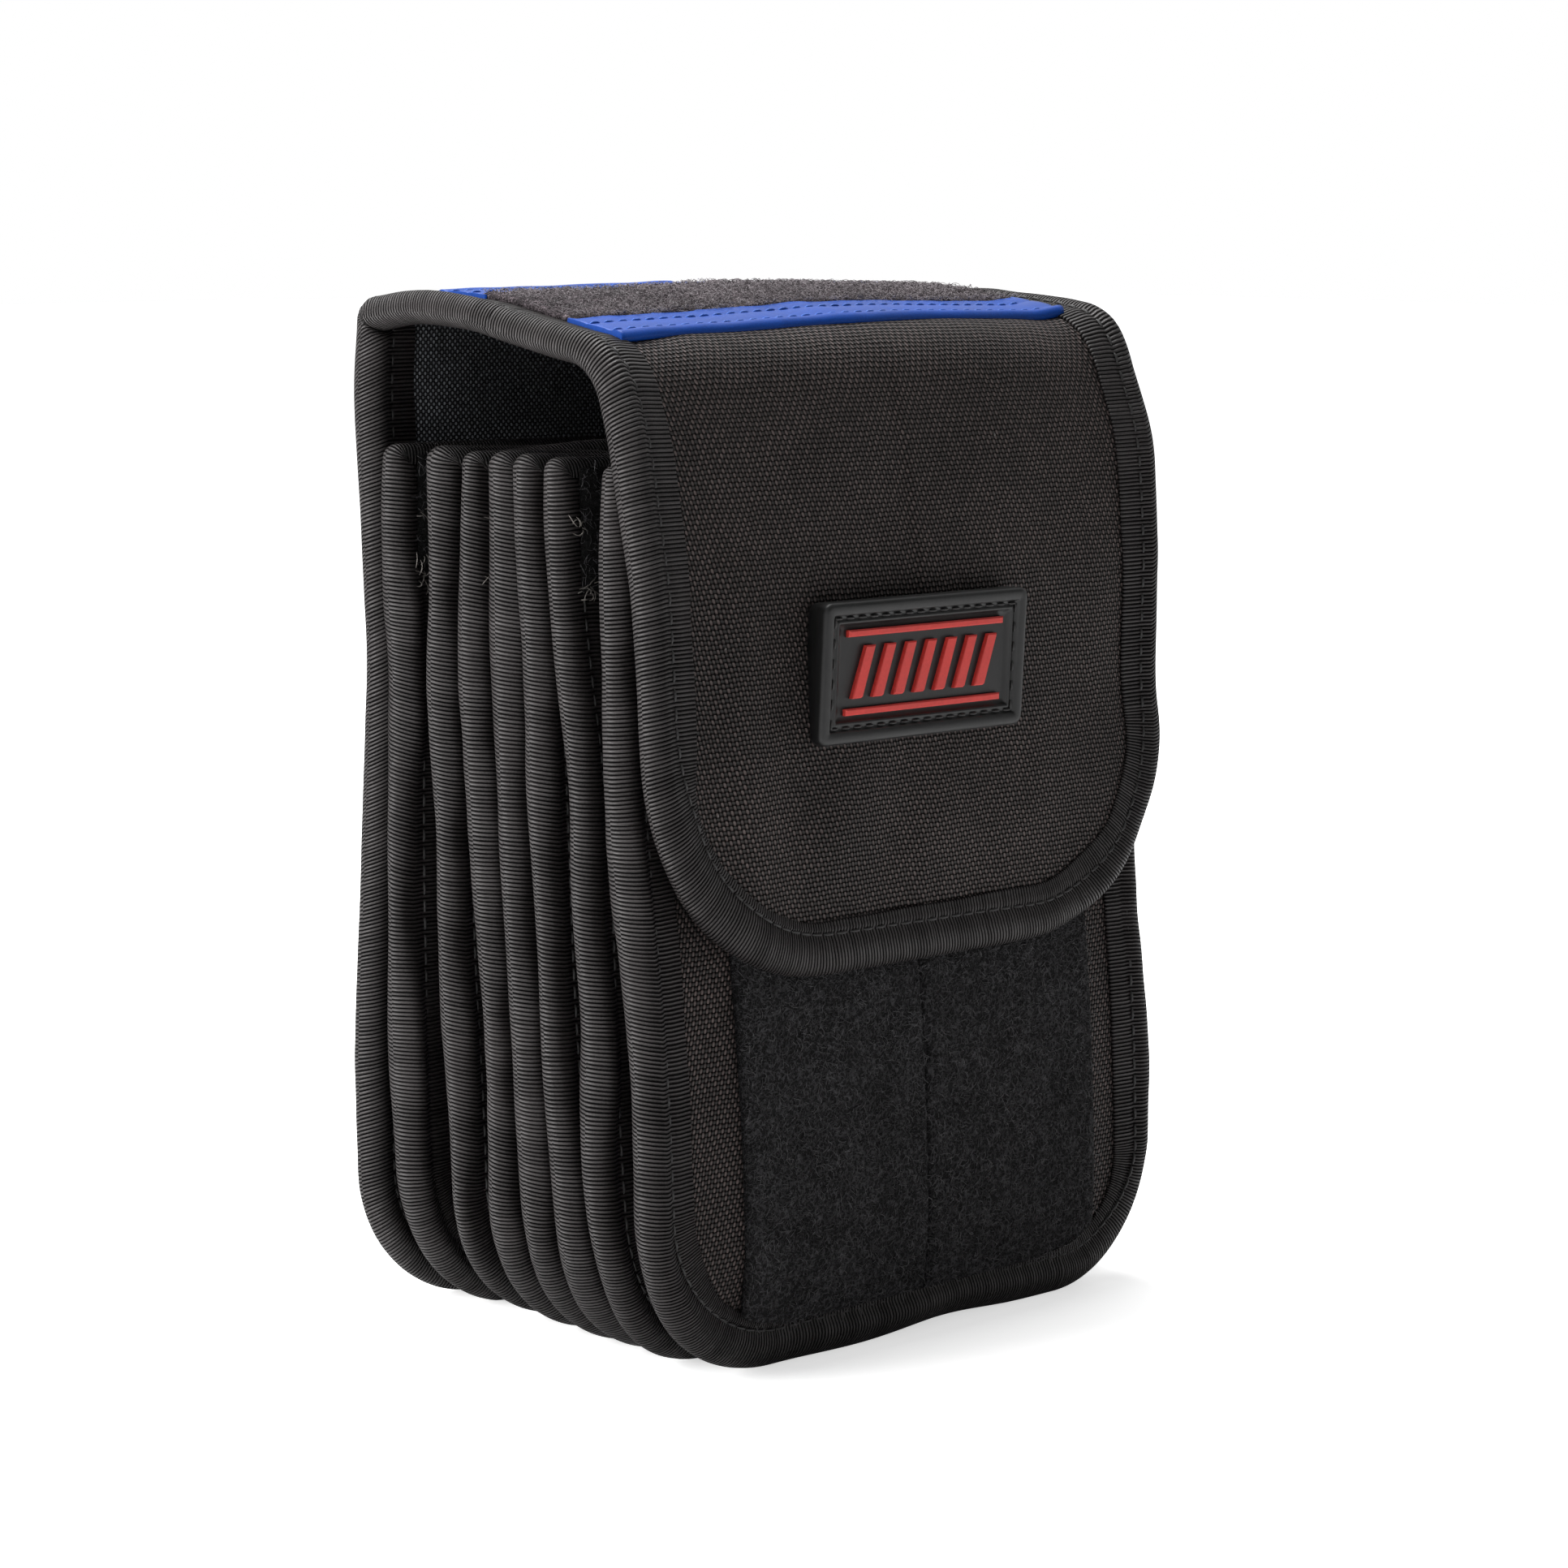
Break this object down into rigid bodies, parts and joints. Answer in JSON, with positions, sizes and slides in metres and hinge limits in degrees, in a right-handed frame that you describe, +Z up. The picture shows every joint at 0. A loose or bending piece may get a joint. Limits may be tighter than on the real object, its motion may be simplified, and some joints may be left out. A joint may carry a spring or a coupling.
{
  "type": "camera filter pouch",
  "caption": "Padded fabric pouch with a row of flat filter pockets, taped edges, a wrap-over lid and flap, loop strips and a rubber badge.",
  "frame": {"origin": "middle of the base, on the surface that the pouch stands on", "axes": "+Z up; +Y from the flap towards the back cover; +X to the viewer's right when facing the flap"},
  "size_m": [0.131, 0.0874, 0.1881],
  "materials": {
    "pouch_cloth": "matte heavy nylon weave, faded brown-black",
    "lining_cloth": "finer dark nylon weave with small bright crowns",
    "gusset_cloth": "thin dark nylon cloth",
    "foam": "matte closed-cell foam",
    "binding_tape": "ribbed charcoal grosgrain",
    "loop_tape": "black fuzzy loop pile",
    "label_loop": "worn dark grey loop pile",
    "hook_tape": "black nylon hooks",
    "blue_trim": "smooth royal blue coated nylon",
    "badge_rubber": "satin black moulded rubber",
    "badge_red": "satin red moulded rubber",
    "thread": "black polyester thread"
  },
  "bodies": {
    "back_cover": {"back_cloth": "pouch_cloth", "back_foam": "foam", "back_lining": "lining_cloth", "back_binding": "binding_tape", "gusset_1": "gusset_cloth"},
    "lid": {"lid_cloth": "pouch_cloth", "lid_foam": "foam", "lid_lining": "lining_cloth", "lid_binding": "binding_tape", "lid_loop_tape": "label_loop", "lid_trim_front": "blue_trim", "lid_trim_rear": "blue_trim"},
    "flap": {"flap_cloth": "pouch_cloth", "flap_foam": "foam", "flap_lining": "lining_cloth", "flap_binding": "binding_tape", "flap_hook_tape": "hook_tape", "badge_base": "badge_rubber", "badge_emblem": "badge_red", "badge_stitching": "thread"},
    "divider_1": {"divider_1_cloth": "pouch_cloth", "divider_1_foam": "foam", "divider_1_binding": "binding_tape", "gusset_2": "gusset_cloth", "tab_hook_2": "hook_tape"},
    "divider_2": {"divider_2_cloth": "pouch_cloth", "divider_2_foam": "foam", "divider_2_binding": "binding_tape", "gusset_3": "gusset_cloth", "tab_loop_2": "loop_tape"},
    "divider_3": {"divider_3_cloth": "pouch_cloth", "divider_3_foam": "foam", "divider_3_binding": "binding_tape", "gusset_4": "gusset_cloth", "tab_hook_4": "hook_tape"},
    "divider_4": {"divider_4_cloth": "pouch_cloth", "divider_4_foam": "foam", "divider_4_binding": "binding_tape", "gusset_5": "gusset_cloth", "tab_loop_4": "loop_tape"},
    "divider_5": {"divider_5_cloth": "pouch_cloth", "divider_5_foam": "foam", "divider_5_binding": "binding_tape", "gusset_6": "gusset_cloth"},
    "divider_6": {"divider_6_cloth": "pouch_cloth", "divider_6_foam": "foam", "divider_6_binding": "binding_tape", "gusset_7": "gusset_cloth", "tab_hook_7": "hook_tape"},
    "front_panel": {"front_cloth": "pouch_cloth", "front_foam": "foam", "front_binding": "binding_tape", "front_loop_left": "loop_tape", "front_loop_right": "loop_tape", "tab_loop_7": "loop_tape"}
  },
  "joints": [
    {"name": "lid_hinge", "type": "hinge", "parent": "back_cover", "child": "lid", "pos_m": [0, 0.04192, 0.18562], "axis": [-1, 0, 0], "range_deg": [0, 225]},
    {"name": "flap_hinge", "type": "hinge", "parent": "lid", "child": "flap", "pos_m": [0, -0.03524, 0.18154], "axis": [-1, 0, 0], "range_deg": [0, 100]},
    {"name": "pocket_1_hinge", "type": "hinge", "parent": "back_cover", "child": "divider_1", "pos_m": [0, 0.0279, 0], "axis": [1, 0, 0], "range_deg": [0, 2.59]},
    {"name": "pocket_2_hinge", "type": "hinge", "parent": "back_cover", "child": "divider_2", "pos_m": [0, 0.0161, 0], "axis": [1, 0, 0], "range_deg": [0, 5.16]},
    {"name": "pocket_3_hinge", "type": "hinge", "parent": "back_cover", "child": "divider_3", "pos_m": [0, 0.0061, 0], "axis": [1, 0, 0], "range_deg": [0, 7.73]},
    {"name": "pocket_4_hinge", "type": "hinge", "parent": "back_cover", "child": "divider_4", "pos_m": [0, -0.0025, 0], "axis": [1, 0, 0], "range_deg": [0, 10.31]},
    {"name": "pocket_5_hinge", "type": "hinge", "parent": "back_cover", "child": "divider_5", "pos_m": [0, -0.0111, 0], "axis": [1, 0, 0], "range_deg": [0, 12.88]},
    {"name": "pocket_6_hinge", "type": "hinge", "parent": "back_cover", "child": "divider_6", "pos_m": [0, -0.0211, 0], "axis": [1, 0, 0], "range_deg": [0, 15.45]},
    {"name": "pocket_7_hinge", "type": "hinge", "parent": "back_cover", "child": "front_panel", "pos_m": [0, -0.0329, 0], "axis": [1, 0, 0], "range_deg": [0, 18.02]}
  ],
  "couplings": [
    {"joint": "pocket_1_hinge", "follows": "lid_hinge", "ratio": 0.011429},
    {"joint": "pocket_2_hinge", "follows": "lid_hinge", "ratio": 0.022857},
    {"joint": "pocket_3_hinge", "follows": "lid_hinge", "ratio": 0.034286},
    {"joint": "pocket_4_hinge", "follows": "lid_hinge", "ratio": 0.045714},
    {"joint": "pocket_5_hinge", "follows": "lid_hinge", "ratio": 0.057143},
    {"joint": "pocket_6_hinge", "follows": "lid_hinge", "ratio": 0.068571},
    {"joint": "pocket_7_hinge", "follows": "lid_hinge", "ratio": 0.08}
  ]
}
